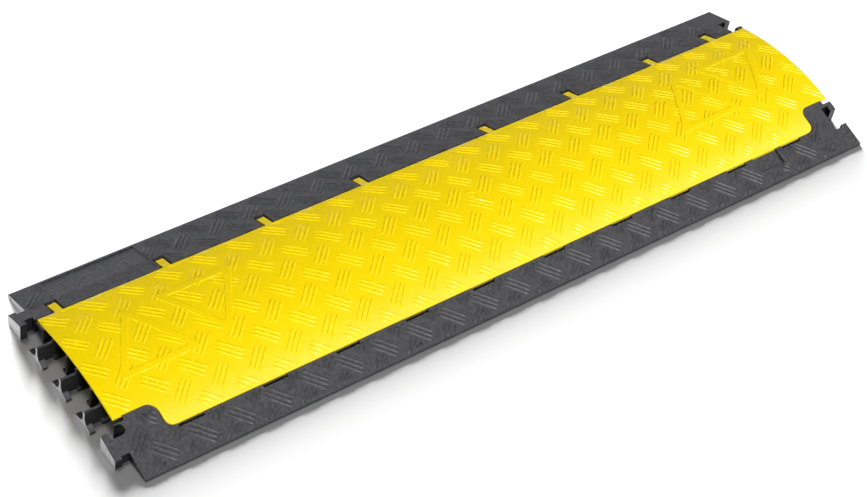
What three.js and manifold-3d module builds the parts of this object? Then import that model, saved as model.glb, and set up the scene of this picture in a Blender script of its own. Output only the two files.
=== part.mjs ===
// Floor cord cover: a low ramp that carries foot and wheel traffic over loose cables.
// It is two mouldings. The dark base has two ramps, three hollow ribs with cable channels
// between them, and connectors at its ends. The yellow lid hooks onto eight hinge bars along
// the far ramp and drops into a ledge along the near ramp.
// Millimetres, +Z up, +X along the cover. The origin is on the floor, at the middle of the whole part.

import * as THREE from 'three';
import { mergeVertices } from 'three/addons/utils/BufferGeometryUtils.js';
import Module from 'manifold-3d';

const wasm = await Module();
wasm.setup();

// Overall sizes of the base
const BODY_LENGTH = 1000;
const BODY_WIDTH = 280;
const CONNECTOR_REACH = 17.5;
const RAMP_LIP = 2.7;
const RAMP_SLOPE = 0.31;
const SHELL = 4;
const RIB_THICKNESS = 3;

// Lid
const LID_THICKNESS = 3.5;
const LID_END_INSET = 2;
const LID_NEAR_INSET = 38;
const LID_FAR_INSET = 60;
const LID_ARC_RISE = 14.5;
const LID_SEGMENTS = 28;
const LID_GAP = 1;
const LID_REST_GAP = 0.3;
const LID_HINGE_GAP = 1.5;
const LID_HEEL_CHAMFER = 2;

// Cut corners of the lid, where the base shows as a pad
const PAD_LENGTH = 48;
const PAD_WIDTH = 30;
const PAD_OUTER_RADIUS = 12;
const PAD_INNER_RADIUS = 9;
const PAD_CUT_BACK = 12;

// Ribs between the cable channels
const RIB_COUNT = 3;
const RIB_PITCH = 48;
const WEB_OFFSET = -2.5;
const BACK_WALL_OFFSET = 17;
const WEB_THICKNESS = 3;
const WEB_TIP_HEIGHT = 22.5;
const DECK_THICKNESS = 3;
const DECK_SEGMENTS = 4;
const DECK_SETBACK = 10;
const FLANGE_WIDTH = 5;
const FLANGE_HEIGHT = 3;
const NEAR_WALL_INSET = 62;
const SHELF_THICKNESS = 4;
const SHELF_GUSSET = 4;

// Cross straps that tie the ribs and ramps together under the cables
const STRAP_COUNT = 10;
const STRAP_WIDTH = 30;
const STRAP_THICKNESS = 3;
const STRAP_END_INSET = 60;

// Feet at the left end of the ribs
const FOOT_WIDTH = 29;
const FOOT_THICKNESS = 6.5;
const FOOT_EDGE = 2.5;
const FOOT_SHOULDER = 4;
const FOOT_SHOULDER_REACH = 9;
const FOOT_FILLET_TOP = 13;
const FOOT_FILLET_WIDTH = 3;
const FOOT_CLEARANCE = 1;

// T heads at the left end of the ramps and the sockets that take them at the right end
const HEAD_THICKNESS = 8;
const NEAR_HEAD_INSET = 28.3;
const NEAR_HEAD_WIDTH = 28.7;
const NEAR_NECK_INSET = 31;
const NEAR_NECK_WIDTH = 18.5;
const FAR_HEAD_INSET = 34;
const FAR_HEAD_WIDTH = 26;
const FAR_NECK_INSET = 37.5;
const FAR_NECK_WIDTH = 15.5;
const SOCKET_CLEARANCE = 1;
const POCKET_DEPTH = 8;
const POCKET_RADIUS = 5;
const POCKET_WALL = 1;

// Hinge fingers of the lid: one group from each end, the last one moved in past the far socket
const HINGE_LEFT_INSET = 27;
const HINGE_RIGHT_INSET = 23;
const HINGE_SOCKET_INSET = 54;
const HINGE_PITCH = 128.3;
const HINGE_MIDDLE_GAP = 100;
const FINGER_WIDTH = 9;
const FINGER_SIDE_GAP = 2.5;
const HINGE_NOTCH_BACK = 3;
const HINGE_NOTCH_ROOM = 3.3;
const HINGE_NOTCH_DROP = 4;
const HINGE_SETBACK = 15;
const HINGE_BAR_RADIUS = 1.5;
const KNUCKLE_DROP = 1;
const KNUCKLE_CLEARANCE = 0.5;
const KNUCKLE_WALL = 1.2;
const KNUCKLE_SNAP = 0.6;

// Windows and finger recess along the near edge of the lid
const WINDOW_START = 73;
const WINDOW_FIRST_PITCH = 99.5;
const WINDOW_PITCH = 89.7;
const WINDOW_GROUP_COUNT = 5;
const WINDOW_GROUP_PITCH = 468.5;
const WINDOW_LENGTH = 30;
const WINDOW_DEPTH = 3.5;
const WINDOW_FLOOR = 9;
const RECESS_END_INSET = 133;
const RECESS_LENGTH = 38;
const RECESS_WIDTH = 20;
const RECESS_DEPTH = 2.5;

// Blank label panel on the far ramp
const PANEL_START = 36;
const PANEL_LENGTH = 110.5;
const PANEL_WIDTH = 51.5;
const PANEL_EDGE_INSET = 3;
const PANEL_STRIP_WIDTH = 17.5;
const PANEL_DEPTH = 1.6;
const PANEL_CREST_DEPTH = 0.4;

// Hollows under the ramps
const HOLLOW_EDGE = 12;
const HOLLOW_END = 32;
const NEAR_HOLLOWS = 14;

// Cutters run past the faces that they cut, and joined solids run into each other
const PAST = 5;
const OVERLAP = 1;

// Places worked out from the sizes above
const leftEnd = -(BODY_LENGTH - CONNECTOR_REACH) / 2;
const nearEdge = -BODY_WIDTH / 2;
const lidNear = LID_NEAR_INSET;
const lidFar = BODY_WIDTH - LID_FAR_INSET;
const lidStart = LID_END_INSET;
const lidEnd = BODY_LENGTH - LID_END_INSET;
const nearRampTop = (across) => RAMP_LIP + RAMP_SLOPE * across;
const farRampTop = (across) => RAMP_LIP + RAMP_SLOPE * (BODY_WIDTH - across);
const ribCentre = (index) => BODY_WIDTH / 2 + (index - (RIB_COUNT - 1) / 2) * RIB_PITCH;
const knuckleBore = HINGE_BAR_RADIUS + KNUCKLE_CLEARANCE;
const knuckleRadius = knuckleBore + KNUCKLE_WALL;
const hingeAcross = lidFar + HINGE_SETBACK;
const hingeHeight = farRampTop(hingeAcross) - knuckleRadius - KNUCKLE_DROP;
const notchHalf = FINGER_WIDTH / 2 + FINGER_SIDE_GAP;
const hingePlaces = placeHinges();
const windowPlaces = placeWindows();
const nearHead = span(NEAR_HEAD_INSET, NEAR_HEAD_WIDTH);
const nearNeck = span(NEAR_NECK_INSET, NEAR_NECK_WIDTH);
const farHead = span(BODY_WIDTH - FAR_HEAD_INSET, -FAR_HEAD_WIDTH);
const farNeck = span(BODY_WIDTH - FAR_NECK_INSET, -FAR_NECK_WIDTH);

// The limits across the cover of something that starts at one place and has a width
function span(start, width) {
  return { low: Math.min(start, start + width), high: Math.max(start, start + width) };
}

// Two groups of fingers at one pitch, as many as leave the middle gap free
function placeHinges() {
  const room = (BODY_LENGTH - HINGE_MIDDLE_GAP) / 2 - HINGE_LEFT_INSET;
  const count = Math.floor(room / HINGE_PITCH) + 1;
  const steps = Array.from({ length: count }, (unused, index) => index * HINGE_PITCH);
  const left = steps.map((step) => HINGE_LEFT_INSET + step);
  const right = steps.map((step) => BODY_LENGTH - HINGE_RIGHT_INSET - step);
  right[0] = BODY_LENGTH - HINGE_SOCKET_INSET;
  return [...left, ...right.reverse()];
}

// Groups of windows: a wider first step and then an even pitch, as far as the right pad
function placeWindows() {
  const last = BODY_LENGTH - PAD_LENGTH - WINDOW_LENGTH / 2;
  const places = [];
  for (let start = WINDOW_START; start < last; start += WINDOW_GROUP_PITCH) {
    places.push(start);
    for (let index = 0; index < WINDOW_GROUP_COUNT - 1; index += 1) {
      places.push(start + WINDOW_FIRST_PITCH + index * WINDOW_PITCH);
    }
  }
  return places.filter((place) => place < last);
}

// The lid's top is one arc from its near edge to its far edge, flush with both ramps
function lidTop(across) {
  const share = (across - lidNear) / (lidFar - lidNear);
  const chord = nearRampTop(lidNear) + share * (farRampTop(lidFar) - nearRampTop(lidNear));
  return chord + 4 * LID_ARC_RISE * share * (1 - share);
}

const lidUnderside = (across) => lidTop(across) - LID_THICKNESS;
const lidRest = (across) => lidUnderside(across) - LID_REST_GAP;

// Points along a curve of the lid's section, from low to high across the cover
function arcPoints(height, low, high, segments = LID_SEGMENTS) {
  const points = [];
  for (let step = 0; step <= segments; step += 1) {
    const across = low + ((high - low) * step) / segments;
    points.push(new THREE.Vector2(across, height(across)));
  }
  return points;
}

// A closed three.js geometry becomes a solid that can be joined and cut
function solidFrom(geometry) {
  const bare = geometry.index ? geometry.toNonIndexed() : geometry.clone();
  bare.deleteAttribute('normal');
  bare.deleteAttribute('uv');
  const merged = mergeVertices(bare, 1e-4);
  return new wasm.Manifold(new wasm.Mesh({
    numProp: 3,
    vertProperties: new Float32Array(merged.attributes.position.array),
    triVerts: new Uint32Array(merged.index.array),
  }));
}

// A box given by its limits along the cover, across it and in height
function block(along, across, height) {
  const size = [along, across, height].map(([low, high]) => high - low);
  const middle = [along, across, height].map(([low, high]) => (low + high) / 2);
  return solidFrom(new THREE.BoxGeometry(...size).translate(...middle));
}

// A section drawn across the cover (across, height) and run along it
function runAlong(outline, start, end) {
  const geometry = new THREE.ExtrudeGeometry(new THREE.Shape(outline), {
    depth: end - start,
    bevelEnabled: false,
  });
  const turn = new THREE.Matrix4().makeBasis(
    new THREE.Vector3(0, 1, 0),
    new THREE.Vector3(0, 0, 1),
    new THREE.Vector3(1, 0, 0),
  );
  return solidFrom(geometry.applyMatrix4(turn).translate(start, 0, 0));
}

// A plan outline raised between two heights
function raise(shape, low, high) {
  const geometry = new THREE.ExtrudeGeometry(shape, {
    depth: high - low,
    bevelEnabled: false,
    curveSegments: 8,
  });
  return solidFrom(geometry.translate(0, 0, low));
}

const joined = (solids) => solids.reduce((whole, solid) => whole.add(solid));
const corners = (pairs) => pairs.map(([across, height]) => new THREE.Vector2(across, height));

// Plan outline of the lid with its two cut near corners, grown by a gap on every side
function lidPlan(gap, hingeGap) {
  const start = lidStart - gap;
  const end = lidEnd + gap;
  const near = lidNear - gap;
  const far = lidFar + hingeGap;
  const padBack = lidNear + PAD_WIDTH;
  const padTurn = padBack - PAD_OUTER_RADIUS;
  const toeTurn = lidNear + PAD_INNER_RADIUS;
  const quarter = Math.PI / 2;
  const shape = new THREE.Shape();
  shape.moveTo(start, padBack - gap);
  shape.lineTo(PAD_LENGTH - PAD_OUTER_RADIUS, padBack - gap);
  shape.absarc(PAD_LENGTH - PAD_OUTER_RADIUS, padTurn, PAD_OUTER_RADIUS - gap, quarter, 0, true);
  shape.absarc(PAD_LENGTH + PAD_INNER_RADIUS, toeTurn, PAD_INNER_RADIUS + gap, Math.PI, 3 * quarter, false);
  const mirrored = BODY_LENGTH - PAD_LENGTH;
  shape.lineTo(mirrored - PAD_INNER_RADIUS, near);
  shape.absarc(mirrored - PAD_INNER_RADIUS, toeTurn, PAD_INNER_RADIUS + gap, -quarter, 0, false);
  shape.absarc(mirrored + PAD_OUTER_RADIUS, padTurn, PAD_OUTER_RADIUS - gap, Math.PI, quarter, true);
  shape.lineTo(end, padBack - gap);
  shape.lineTo(end, far);
  shape.lineTo(start, far);
  return shape;
}

// Everything above the lid's resting surface, inside the lid's outline and its gap
function lidSeat() {
  const low = lidNear - LID_GAP;
  const high = lidFar + LID_HINGE_GAP;
  const ceiling = lidTop(BODY_WIDTH / 2) + PAST;
  const rest = arcPoints(lidRest, low, high);
  const above = [...rest, new THREE.Vector2(high, ceiling), new THREE.Vector2(low, ceiling)];
  const outline = raise(lidPlan(LID_GAP, LID_HINGE_GAP), -PAST, ceiling);
  return runAlong(above, -PAST, BODY_LENGTH + PAST).intersect(outline);
}

// The near and far ramps, solid up to their tops
function ramps() {
  const padBack = lidNear + PAD_WIDTH - LID_GAP;
  const near = corners([
    [0, 0], [NEAR_WALL_INSET, 0], [NEAR_WALL_INSET, nearRampTop(padBack) - SHELF_THICKNESS - SHELF_GUSSET],
    [padBack, nearRampTop(padBack) - SHELF_THICKNESS], [padBack, nearRampTop(padBack)], [0, RAMP_LIP],
  ]);
  const backWall = ribCentre(RIB_COUNT - 1) + BACK_WALL_OFFSET;
  const crest = lidFar + LID_HINGE_GAP;
  const far = [
    ...corners([[backWall, 0], [BODY_WIDTH, 0], [BODY_WIDTH, RAMP_LIP], [crest, farRampTop(crest)]]),
    ...arcPoints(lidRest, backWall, crest, DECK_SEGMENTS).reverse(),
  ];
  return joined([runAlong(near, 0, BODY_LENGTH), runAlong(far, 0, BODY_LENGTH)]);
}

// A section from a floor height up to the surface that the lid rests on
function underLid(low, high, floor, segments) {
  return [...corners([[low, floor], [high, floor]]), ...arcPoints(lidRest, low, high, segments).reverse()];
}

// One hollow rib: a web that reaches past the left end, a back wall and a deck over both
function rib(index) {
  const centre = ribCentre(index);
  const half = WEB_THICKNESS / 2;
  const web = [centre + WEB_OFFSET - half, centre + WEB_OFFSET + half];
  const back = [centre + BACK_WALL_OFFSET - half, centre + BACK_WALL_OFFSET + half];
  const webEnd = BODY_LENGTH - CONNECTOR_REACH - FOOT_CLEARANCE;
  const deckFloor = Math.min(lidRest(web[0]), lidRest(back[1])) - DECK_THICKNESS;
  const deck = underLid(web[0], back[1], deckFloor, DECK_SEGMENTS);
  return joined([
    runAlong(underLid(...web, 0, 1), 0, webEnd),
    runAlong(underLid(...back, 0, 1), 0, BODY_LENGTH),
    runAlong(deck, DECK_SETBACK, webEnd - DECK_SETBACK),
    block([FOOT_THICKNESS - CONNECTOR_REACH, 0], web, [0, WEB_TIP_HEIGHT]),
    block([0, webEnd], [web[0] - FLANGE_WIDTH, web[1]], [0, FLANGE_HEIGHT]),
    block([0, webEnd], [back[0], back[1] + FLANGE_WIDTH], [0, FLANGE_HEIGHT]),
    foot(centre),
  ]);
}

// The foot at the left end of a web: a low plate that narrows into the web
function foot(centre) {
  const half = FOOT_WIDTH / 2;
  const wall = WEB_THICKNESS / 2;
  const outline = corners([
    [-half, 0], [half, 0], [half, FOOT_EDGE], [WEB_OFFSET + FOOT_SHOULDER_REACH, FOOT_SHOULDER],
    [WEB_OFFSET + wall + FOOT_FILLET_WIDTH, FOOT_FILLET_TOP / 2], [WEB_OFFSET + wall, FOOT_FILLET_TOP],
    [WEB_OFFSET + wall, WEB_TIP_HEIGHT], [WEB_OFFSET - wall, WEB_TIP_HEIGHT],
    [WEB_OFFSET - wall, FOOT_FILLET_TOP], [WEB_OFFSET - wall - FOOT_FILLET_WIDTH, FOOT_FILLET_TOP / 2],
    [WEB_OFFSET - FOOT_SHOULDER_REACH, FOOT_SHOULDER], [-half, FOOT_EDGE],
  ].map(([across, height]) => [centre + across, height]));
  return runAlong(outline, -CONNECTOR_REACH, FOOT_THICKNESS - CONNECTOR_REACH);
}

// Flat straps across the floor of the channels
function straps() {
  const step = (BODY_LENGTH - 2 * STRAP_END_INSET) / (STRAP_COUNT - 1);
  const reach = [NEAR_WALL_INSET - SHELL, ribCentre(RIB_COUNT - 1) + BACK_WALL_OFFSET];
  const pieces = [];
  for (let index = 0; index < STRAP_COUNT; index += 1) {
    const middle = STRAP_END_INSET + index * step;
    pieces.push(block([middle - STRAP_WIDTH / 2, middle + STRAP_WIDTH / 2], reach, [0, STRAP_THICKNESS]));
  }
  return joined(pieces);
}

// A T head on a ramp's left end, its top in line with the ramp
function tHead(head, neck, rampTop) {
  const section = ({ low, high }) => corners([
    [low, 0], [high, 0], [high, rampTop(high)], [low, rampTop(low)],
  ]);
  return joined([
    runAlong(section(head), -CONNECTOR_REACH, HEAD_THICKNESS - CONNECTOR_REACH),
    runAlong(section(neck), HEAD_THICKNESS - CONNECTOR_REACH - OVERLAP, OVERLAP),
  ]);
}

// The socket at the right end that the next cover's T head drops into
function tSocket(head, neck) {
  const tall = [-PAST, lidTop(BODY_WIDTH / 2)];
  const pocketStart = BODY_LENGTH - CONNECTOR_REACH - SOCKET_CLEARANCE;
  const pocketEnd = pocketStart + HEAD_THICKNESS + 2 * SOCKET_CLEARANCE;
  const grown = ({ low, high }) => [low - SOCKET_CLEARANCE, high + SOCKET_CLEARANCE];
  return joined([
    block([pocketStart, pocketEnd], grown(head), tall),
    block([pocketStart, BODY_LENGTH + PAST], grown(neck), tall),
  ]);
}

// The round-ended pocket that runs into the base behind a T head's inner side
function headPocket(low, high) {
  const shape = new THREE.Shape();
  shape.moveTo(-PAST, low);
  shape.lineTo(POCKET_DEPTH - POCKET_RADIUS, low);
  shape.absarc(POCKET_DEPTH - POCKET_RADIUS, low + POCKET_RADIUS, POCKET_RADIUS, -Math.PI / 2, 0, false);
  shape.absarc(POCKET_DEPTH - POCKET_RADIUS, high - POCKET_RADIUS, POCKET_RADIUS, 0, Math.PI / 2, false);
  shape.lineTo(-PAST, high);
  return raise(shape, -PAST, lidTop(BODY_WIDTH / 2));
}

// Notches in the far ramp for the hinge fingers
function hingeNotches() {
  const across = [lidFar - HINGE_NOTCH_BACK, hingeAcross + knuckleRadius + HINGE_NOTCH_ROOM];
  const height = [hingeHeight - knuckleRadius - HINGE_NOTCH_DROP, lidTop(BODY_WIDTH / 2)];
  return joined(hingePlaces.map((place) => (
    block([place - notchHalf, place + notchHalf], across, height)
  )));
}

// A round bar along the cover at the hinge line
function hingeRod(radius, sides, start, end) {
  const rod = new THREE.CylinderGeometry(radius, radius, end - start, sides);
  rod.rotateZ(Math.PI / 2).translate((start + end) / 2, hingeAcross, hingeHeight);
  return solidFrom(rod);
}

function hingeBars() {
  const half = notchHalf + OVERLAP;
  return joined(hingePlaces.map((place) => hingeRod(HINGE_BAR_RADIUS, 12, place - half, place + half)));
}

// Hollows under the near ramp, with cross ribs left between them
function nearHollows() {
  const inner = NEAR_WALL_INSET - SHELL;
  const ledge = (across) => lidRest(across) - SHELL;
  const bend = lidNear - LID_GAP - WINDOW_DEPTH - SHELL;
  const section = corners([
    [HOLLOW_EDGE, -PAST], [inner, -PAST], [inner, ledge(inner)],
    [lidNear, ledge(lidNear)], [bend, ledge(lidNear)],
    [HOLLOW_EDGE, nearRampTop(HOLLOW_EDGE) - SHELL],
  ]);
  const step = (BODY_LENGTH - 2 * HOLLOW_END) / NEAR_HOLLOWS;
  const pieces = [];
  for (let index = 0; index < NEAR_HOLLOWS; index += 1) {
    const start = HOLLOW_END + index * step + RIB_THICKNESS / 2;
    pieces.push(runAlong(section, start, start + step - RIB_THICKNESS));
  }
  return joined(pieces);
}

// Hollows under the far ramp, between the walls that carry the hinge bars
function farHollows() {
  const inner = ribCentre(RIB_COUNT - 1) + BACK_WALL_OFFSET + WEB_THICKNESS / 2;
  const outer = BODY_WIDTH - HOLLOW_EDGE;
  const shelf = lidRest(lidFar) - SHELL;
  const bend = lidFar + LID_HINGE_GAP + SHELL;
  const section = corners([
    [inner, -PAST], [outer, -PAST], [outer, farRampTop(outer) - SHELL],
    [bend, Math.min(shelf, farRampTop(bend) - SHELL)], [inner, shelf],
  ]);
  const clear = notchHalf + RIB_THICKNESS;
  const bounds = [...hingePlaces, BODY_LENGTH - HOLLOW_END + clear];
  const pieces = [];
  hingePlaces.forEach((place, index) => {
    const from = place + clear;
    const to = bounds[index + 1] - clear;
    const middle = (from + to) / 2;
    pieces.push(runAlong(section, from, middle - RIB_THICKNESS / 2));
    pieces.push(runAlong(section, middle + RIB_THICKNESS / 2, to));
  });
  const mouth = block([-PAST, HOLLOW_END], [inner, farNeck.low - SHELL], [-PAST, shelf]);
  return joined([...pieces, mouth]);
}

// Windows in the near ramp along the lid's edge, and the recess for lifting it
function nearEdgeCuts() {
  const top = lidTop(BODY_WIDTH / 2);
  const half = WINDOW_LENGTH / 2;
  const windows = windowPlaces.map((place) => block(
    [place - half, place + half],
    [lidNear - LID_GAP - WINDOW_DEPTH, lidNear],
    [lidTop(lidNear) - WINDOW_FLOOR, top],
  ));
  const low = lidNear - RECESS_WIDTH;
  const recess = corners([
    [low, nearRampTop(low)], [low + RECESS_DEPTH, nearRampTop(low) - RECESS_DEPTH],
    [lidNear, nearRampTop(lidNear) - RECESS_DEPTH - LID_GAP], [lidNear, top], [low, top],
  ]);
  const middle = BODY_LENGTH - RECESS_END_INSET;
  return joined([...windows, runAlong(recess, middle - RECESS_LENGTH / 2, middle + RECESS_LENGTH / 2)]);
}

// The blank panel sunk in the far ramp: a flatter strip along its low side, then a steeper face
function labelPanel() {
  const high = BODY_WIDTH - PANEL_EDGE_INSET;
  const low = high - PANEL_WIDTH;
  const crest = low + PANEL_STRIP_WIDTH;
  const section = corners([
    [low, farRampTop(low) - PANEL_DEPTH], [crest, farRampTop(crest) - PANEL_CREST_DEPTH],
    [high, farRampTop(high) - PANEL_DEPTH], [high, farRampTop(low) + PAST], [low, farRampTop(low) + PAST],
  ]);
  return runAlong(section, PANEL_START, PANEL_START + PANEL_LENGTH);
}

// The ends of the near shelf are cut back, clear of the next cover's lid
function shelfCutBacks() {
  const across = [NEAR_WALL_INSET, lidNear + PAD_WIDTH];
  const height = [0, lidTop(BODY_WIDTH / 2)];
  return joined([
    block([-PAST, PAD_CUT_BACK], across, height),
    block([BODY_LENGTH - PAD_CUT_BACK, BODY_LENGTH + PAST], across, height),
  ]);
}

function baseSolid() {
  const ribs = Array.from({ length: RIB_COUNT }, (unused, index) => rib(index));
  const body = joined([ramps(), straps(), ...ribs])
    .subtract(nearHollows())
    .subtract(farHollows())
    .add(straps())
    .subtract(lidSeat())
    .subtract(hingeNotches())
    .subtract(nearEdgeCuts())
    .subtract(labelPanel())
    .subtract(shelfCutBacks())
    .subtract(headPocket(nearNeck.high, NEAR_WALL_INSET - POCKET_WALL))
    .subtract(tSocket(nearHead, nearNeck))
    .subtract(tSocket(farHead, farNeck));
  return joined([
    body,
    hingeBars(),
    tHead(nearHead, nearNeck, nearRampTop),
    tHead(farHead, farNeck, farRampTop),
  ]);
}

// One finger of the lid: an arm over the notch and an open knuckle round the hinge bar
function finger(place) {
  const start = place - FINGER_WIDTH / 2;
  const end = place + FINGER_WIDTH / 2;
  const arm = corners([
    [lidFar - PAST, lidTop(lidFar - PAST)],
    [lidFar - PAST, lidUnderside(lidFar - PAST)],
    [hingeAcross, hingeHeight],
    [hingeAcross, hingeHeight + knuckleRadius],
    [lidFar, lidTop(lidFar)],
  ]);
  const mouthHalf = HINGE_BAR_RADIUS - KNUCKLE_SNAP / 2;
  const mouth = block(
    [start - PAST, end + PAST],
    [hingeAcross - mouthHalf, hingeAcross + mouthHalf],
    [hingeHeight - knuckleRadius - PAST, hingeHeight],
  );
  return runAlong(arm, start, end)
    .add(hingeRod(knuckleRadius, 20, start, end))
    .subtract(hingeRod(knuckleBore, 16, start - PAST, end + PAST))
    .subtract(mouth);
}

function lidSolid() {
  const heel = new THREE.Vector2(lidFar, lidUnderside(lidFar) + LID_HEEL_CHAMFER);
  const heelBack = new THREE.Vector2(lidFar - LID_HEEL_CHAMFER, lidUnderside(lidFar - LID_HEEL_CHAMFER));
  const under = arcPoints(lidUnderside, lidNear, lidFar - LID_HEEL_CHAMFER).slice(0, -1);
  const top = arcPoints(lidTop, lidNear, lidFar).reverse();
  const plate = runAlong([...under, heelBack, heel, ...top], 0, BODY_LENGTH);
  const outline = raise(lidPlan(0, 0), 0, lidTop(BODY_WIDTH / 2) + PAST);
  return joined([plate.intersect(outline), ...hingePlaces.map(finger)]);
}

// Solids are built from the base's near left corner, then centred on the whole part
function meshFrom(name, solid, material) {
  const { vertProperties, triVerts } = solid.getMesh();
  const geometry = new THREE.BufferGeometry();
  geometry.setAttribute('position', new THREE.BufferAttribute(vertProperties, 3));
  geometry.setIndex(new THREE.BufferAttribute(triVerts, 1));
  geometry.computeVertexNormals();
  const mesh = new THREE.Mesh(geometry, material);
  mesh.name = name;
  mesh.position.set(leftEnd, nearEdge, 0);
  return mesh;
}

const darkPlastic = new THREE.MeshStandardMaterial({ color: 0x46464a, roughness: 0.6, metalness: 0 });
const yellowPlastic = new THREE.MeshStandardMaterial({ color: 0xffde00, roughness: 0.45, metalness: 0 });

const cordCover = new THREE.Group();
cordCover.add(meshFrom('channel_base', baseSolid(), darkPlastic));
cordCover.add(meshFrom('hinged_lid', lidSolid(), yellowPlastic));

export default cordCover;
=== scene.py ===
# %% [markdown]
# A floor cord cover is two plastic mouldings: a dark base with a ramp on each side, and a yellow lid that
# hinges along the far ramp. The CAD model holds their true shapes and sizes. This lesson gives them what
# the mould adds to that: tread bars, rounded edges and the skin of the plastic. Then a camera and lights
# show them. The first step is always the same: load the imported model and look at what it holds.

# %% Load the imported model
import math

import bmesh
import bpy
from mathutils import Matrix, Vector
from mathutils.bvhtree import BVHTree


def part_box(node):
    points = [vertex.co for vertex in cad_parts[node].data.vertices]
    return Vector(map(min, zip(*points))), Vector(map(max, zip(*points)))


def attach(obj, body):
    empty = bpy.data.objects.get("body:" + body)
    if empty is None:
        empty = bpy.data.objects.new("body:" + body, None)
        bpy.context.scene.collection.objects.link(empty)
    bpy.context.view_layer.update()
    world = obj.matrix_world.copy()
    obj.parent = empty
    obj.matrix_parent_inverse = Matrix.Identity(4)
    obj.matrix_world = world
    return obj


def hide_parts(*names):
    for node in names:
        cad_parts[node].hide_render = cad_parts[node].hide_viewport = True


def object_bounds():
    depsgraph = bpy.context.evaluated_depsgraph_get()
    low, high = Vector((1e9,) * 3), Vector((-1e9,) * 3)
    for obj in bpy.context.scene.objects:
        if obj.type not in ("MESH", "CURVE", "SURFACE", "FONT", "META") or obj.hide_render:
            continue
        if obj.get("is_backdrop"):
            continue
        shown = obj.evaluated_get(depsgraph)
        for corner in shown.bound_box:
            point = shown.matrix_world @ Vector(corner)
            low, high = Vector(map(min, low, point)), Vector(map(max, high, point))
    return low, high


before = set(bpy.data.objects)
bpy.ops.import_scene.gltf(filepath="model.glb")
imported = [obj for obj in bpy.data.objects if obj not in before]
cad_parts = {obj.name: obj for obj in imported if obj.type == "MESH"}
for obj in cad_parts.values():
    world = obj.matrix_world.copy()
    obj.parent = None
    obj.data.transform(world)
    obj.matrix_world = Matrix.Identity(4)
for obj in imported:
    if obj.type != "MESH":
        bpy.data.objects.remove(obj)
cad_low, cad_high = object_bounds()
base_low, base_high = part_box("channel_base")
lid_low, lid_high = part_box("hinged_lid")
print("base", [round(side, 4) for side in base_high - base_low])
print("lid", [round(side, 4) for side in lid_high - lid_low])

# %% [markdown]
# The camera comes early, because every later choice is judged through it. It is a long lens, about two
# metres away, looking down over the near left corner and rolled a little, so that the cover runs from the
# lower left to the upper right. A camera looks along its own -Z, so three turns aim it: a roll about its
# own line of sight, a tilt up from straight down, and a turn about the upright axis. The focal length is
# given in pixels of the frame, and is turned into millimetres for Blender.

# %% Camera
PHOTO_WIDTH = 867
FOCAL_LENGTH = 1958
SENSOR_WIDTH = 36
CAMERA_AZIMUTH = math.radians(43.83)
CAMERA_ELEVATION = math.radians(45.46)
CAMERA_ROLL = math.radians(10.53)
CAMERA_DISTANCE = 2.171
CAMERA_TARGET = Vector((-0.05635, -0.0241, 0.0))


def make_camera():
    data = bpy.data.cameras.new("camera")
    data.sensor_width = SENSOR_WIDTH
    data.lens = FOCAL_LENGTH / PHOTO_WIDTH * data.sensor_width
    turn = Matrix.Rotation(-CAMERA_AZIMUTH, 4, "Z")
    tilt = Matrix.Rotation(math.pi / 2 - CAMERA_ELEVATION, 4, "X")
    roll = Matrix.Rotation(CAMERA_ROLL, 4, "Z")
    aim = turn @ tilt @ roll
    away = Matrix.Translation((0, 0, CAMERA_DISTANCE))
    camera = bpy.data.objects.new("camera", data)
    camera.matrix_world = Matrix.Translation(CAMERA_TARGET) @ aim @ away
    bpy.context.scene.collection.objects.link(camera)
    bpy.context.scene.camera = camera
    return camera


camera = make_camera()
print("camera at", [round(value, 3) for value in camera.matrix_world.translation])

# %% [markdown]
# Places on the cover are easiest to read in millimetres from the left end and the near edge of its body,
# as a tape measure would give them. The connectors reach past the body's left end, so the body starts a
# little inside the base's box. One helper turns such a place into the shared frame.

# %% Measuring from the body's corner
MM = 0.001
CONNECTOR_REACH = 17.5 * MM
body_left = base_low.x + CONNECTOR_REACH
body_near = base_low.y
body_length = (base_high.x - body_left) / MM
body_width = (base_high.y - body_near) / MM


def place(along, across, height=0.0):
    """A point given in millimetres from the body's near left corner."""
    return Vector((body_left + along * MM, body_near + across * MM, height * MM))


print("body", round(body_length, 1), "by", round(body_width, 1), "mm")

# %% [markdown]
# The two mouldings come over as loose triangles. A copy of each is merged at its shared corners, and
# triangles that lie in one plane are dissolved into whole faces, because a bevel runs along clean edges
# only. The CAD node itself is never touched: the copy is a new piece that will stand in for it.

# %% Working copies of the two mouldings
MERGE_DISTANCE = 0.01 * MM
FLAT_ANGLE = math.radians(0.4)


def working_copy(node):
    mesh = bmesh.new()
    mesh.from_mesh(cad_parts[node].data)
    bmesh.ops.remove_doubles(mesh, verts=mesh.verts, dist=MERGE_DISTANCE)
    bmesh.ops.dissolve_limit(mesh, angle_limit=FLAT_ANGLE, verts=mesh.verts, edges=mesh.edges)
    return mesh


base_mesh = working_copy("channel_base")
lid_mesh = working_copy("hinged_lid")
print("base faces", len(base_mesh.faces), "lid faces", len(lid_mesh.faces))

# %% [markdown]
# Everything that is raised on a surface has to sit on it. A tree of the CAD faces answers one question
# quickly: how high is the surface under this point? A ray is dropped from above, and its hit is the answer.

# %% Heights of the CAD surfaces
RAY_START = 0.1
DOWN = Vector((0, 0, -1))


def surface_tree(node):
    mesh = bmesh.new()
    mesh.from_mesh(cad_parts[node].data)
    tree = BVHTree.FromBMesh(mesh)
    mesh.free()
    return tree


surfaces = {node: surface_tree(node) for node in ("channel_base", "hinged_lid")}


def height_on(node, point):
    hit = surfaces[node].ray_cast(Vector((point.x, point.y, RAY_START)), DOWN)[0]
    return hit.z if hit else surfaces[node].find_nearest(point)[0].z


print("lid crown at", round(height_on("hinged_lid", place(500, 150)) / MM, 2), "mm")

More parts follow.
